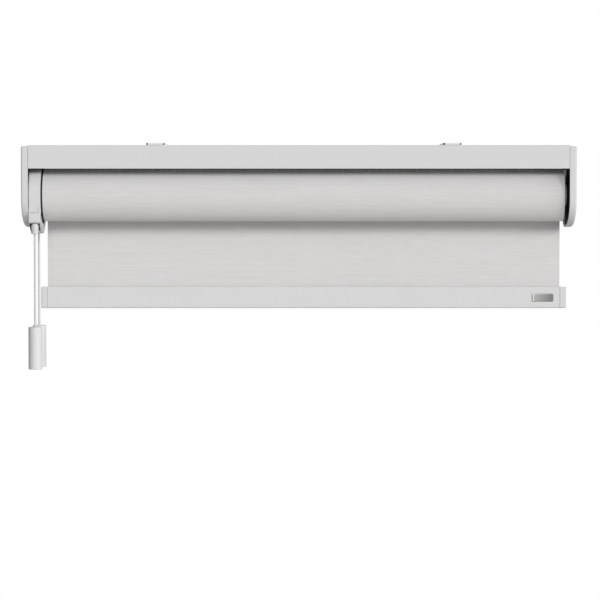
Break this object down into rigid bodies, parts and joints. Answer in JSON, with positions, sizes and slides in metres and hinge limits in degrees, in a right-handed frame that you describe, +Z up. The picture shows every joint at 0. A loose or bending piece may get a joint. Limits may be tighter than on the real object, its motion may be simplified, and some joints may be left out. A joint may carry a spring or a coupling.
{
  "type": "roller blind",
  "caption": "Ceiling-fixed roller blind: open headrail with end caps and clip brackets, cloth roll, hanging panel, weighted bottom bar and a side clutch worked by two tasselled cords.",
  "frame": {"origin": "on the ceiling plane, midway along and midway across the headrail", "axes": "+X along the headrail to the right as seen from the room, +Y away from the room, +Z up"},
  "size_m": [0.6, 0.093, 0.2454],
  "materials": {
    "powder_coated_aluminium": "pale grey powder coat, fine texture",
    "moulded_grey_plastic": "injection-moulded, fine satin grain",
    "blind_fabric": "plain woven blind cloth with slubs",
    "braided_cord": "braided polyester",
    "zinc_plated_steel": "bright zinc plate",
    "spring_steel": "oiled spring wire",
    "mill_aluminium": "mill-finish extrusion",
    "dark_nylon": "moulded nylon",
    "natural_acetal": "moulded acetal",
    "brushed_badge_metal": "brushed blank plate"
  },
  "bodies": {
    "headrail": {"headrail_profile": "powder_coated_aluminium", "fascia_lip": "moulded_grey_plastic", "fascia_brush": "dark_nylon", "left_end_cap": "moulded_grey_plastic", "right_end_cap": "moulded_grey_plastic", "left_side_plate": "zinc_plated_steel", "right_side_plate": "zinc_plated_steel", "left_cap_screw_front": "zinc_plated_steel", "left_cap_screw_rear": "zinc_plated_steel", "right_cap_screw_front": "zinc_plated_steel", "right_cap_screw_rear": "zinc_plated_steel", "idler_socket": "natural_acetal", "left_bracket_plate": "zinc_plated_steel", "right_bracket_plate": "zinc_plated_steel", "clutch_housing": "moulded_grey_plastic", "clutch_cover": "moulded_grey_plastic", "cord_guide_block": "moulded_grey_plastic", "front_cord_nozzle": "moulded_grey_plastic", "rear_cord_nozzle": "moulded_grey_plastic", "clutch_spigot": "zinc_plated_steel", "return_spring": "spring_steel", "cord_wrap": "braided_cord", "brake_spring": "spring_steel", "clutch_screw_upper": "zinc_plated_steel", "clutch_screw_lower": "zinc_plated_steel", "clutch_cover_screw_front": "zinc_plated_steel", "clutch_cover_screw_rear": "zinc_plated_steel"},
    "roller": {"roller_tube": "mill_aluminium", "fabric_roll": "blind_fabric", "fabric_key": "dark_nylon", "drive_crown": "dark_nylon", "idler_plug": "dark_nylon", "idler_spring_seat": "natural_acetal", "idler_spring": "spring_steel", "idler_bush": "natural_acetal"},
    "idler_pin_body": {"idler_pin": "zinc_plated_steel"},
    "bottom_bar": {"bar_profile": "powder_coated_aluminium", "bar_spline": "dark_nylon", "bar_left_cap": "moulded_grey_plastic", "bar_right_cap": "moulded_grey_plastic", "badge_plate": "brushed_badge_metal", "fabric_panel": "blind_fabric"},
    "sheave": {"cord_sheave": "natural_acetal"},
    "front_pull": {"front_tassel": "moulded_grey_plastic", "front_cord_knot": "braided_cord", "front_tassel_plug": "moulded_grey_plastic", "front_cord": "braided_cord"},
    "rear_pull": {"rear_tassel": "moulded_grey_plastic", "rear_cord_knot": "braided_cord", "rear_tassel_plug": "moulded_grey_plastic", "rear_cord": "braided_cord"},
    "left_latch": {"left_bracket_latch": "natural_acetal"},
    "right_latch": {"right_bracket_latch": "natural_acetal"}
  },
  "joints": [
    {"name": "roller_turn", "type": "hinge", "parent": "headrail", "child": "roller", "pos_m": [0, -0.007, -0.0559], "axis": [1, 0, 0], "range_deg": [-4155.04, 131.21]},
    {"name": "bottom_bar_slide", "type": "slide", "parent": "headrail", "child": "bottom_bar", "axis": [0, 0, 1], "range_m": [-1.901, 0.061], "deforming": ["fabric_panel"]},
    {"name": "sheave_turn", "type": "hinge", "parent": "headrail", "child": "sheave", "pos_m": [0, -0.007, -0.0559], "axis": [1, 0, 0], "range_deg": [-211.96, 211.96]},
    {"name": "front_cord_pull", "type": "slide", "parent": "headrail", "child": "front_pull", "axis": [0, 0, 1], "range_m": [-0.062, 0.062], "stiffness_N_per_m": 35, "deforming": ["front_cord"]},
    {"name": "rear_cord_pull", "type": "slide", "parent": "headrail", "child": "rear_pull", "axis": [0, 0, 1], "range_m": [-0.063, 0.063], "deforming": ["rear_cord"]},
    {"name": "idler_pin_slide", "type": "slide", "parent": "roller", "child": "idler_pin_body", "axis": [1, 0, 0], "range_m": [-0.006, 0], "stiffness_N_per_m": 300, "springref_m": 0.002, "deforming": ["idler_spring"]},
    {"name": "left_latch_slide", "type": "slide", "parent": "headrail", "child": "left_latch", "axis": [0, 1, 0], "range_m": [-0.0028, 0], "stiffness_N_per_m": 400, "springref_m": 0.002},
    {"name": "right_latch_slide", "type": "slide", "parent": "headrail", "child": "right_latch", "axis": [0, 1, 0], "range_m": [-0.0028, 0], "stiffness_N_per_m": 400, "springref_m": 0.002}
  ],
  "couplings": [
    {"joint": "bottom_bar_slide", "follows": "roller_turn", "m_per_rad": 0.0262},
    {"joint": "sheave_turn", "follows": "front_cord_pull", "rad_per_m": -58.824},
    {"joint": "rear_cord_pull", "follows": "front_cord_pull", "ratio": -1}
  ]
}
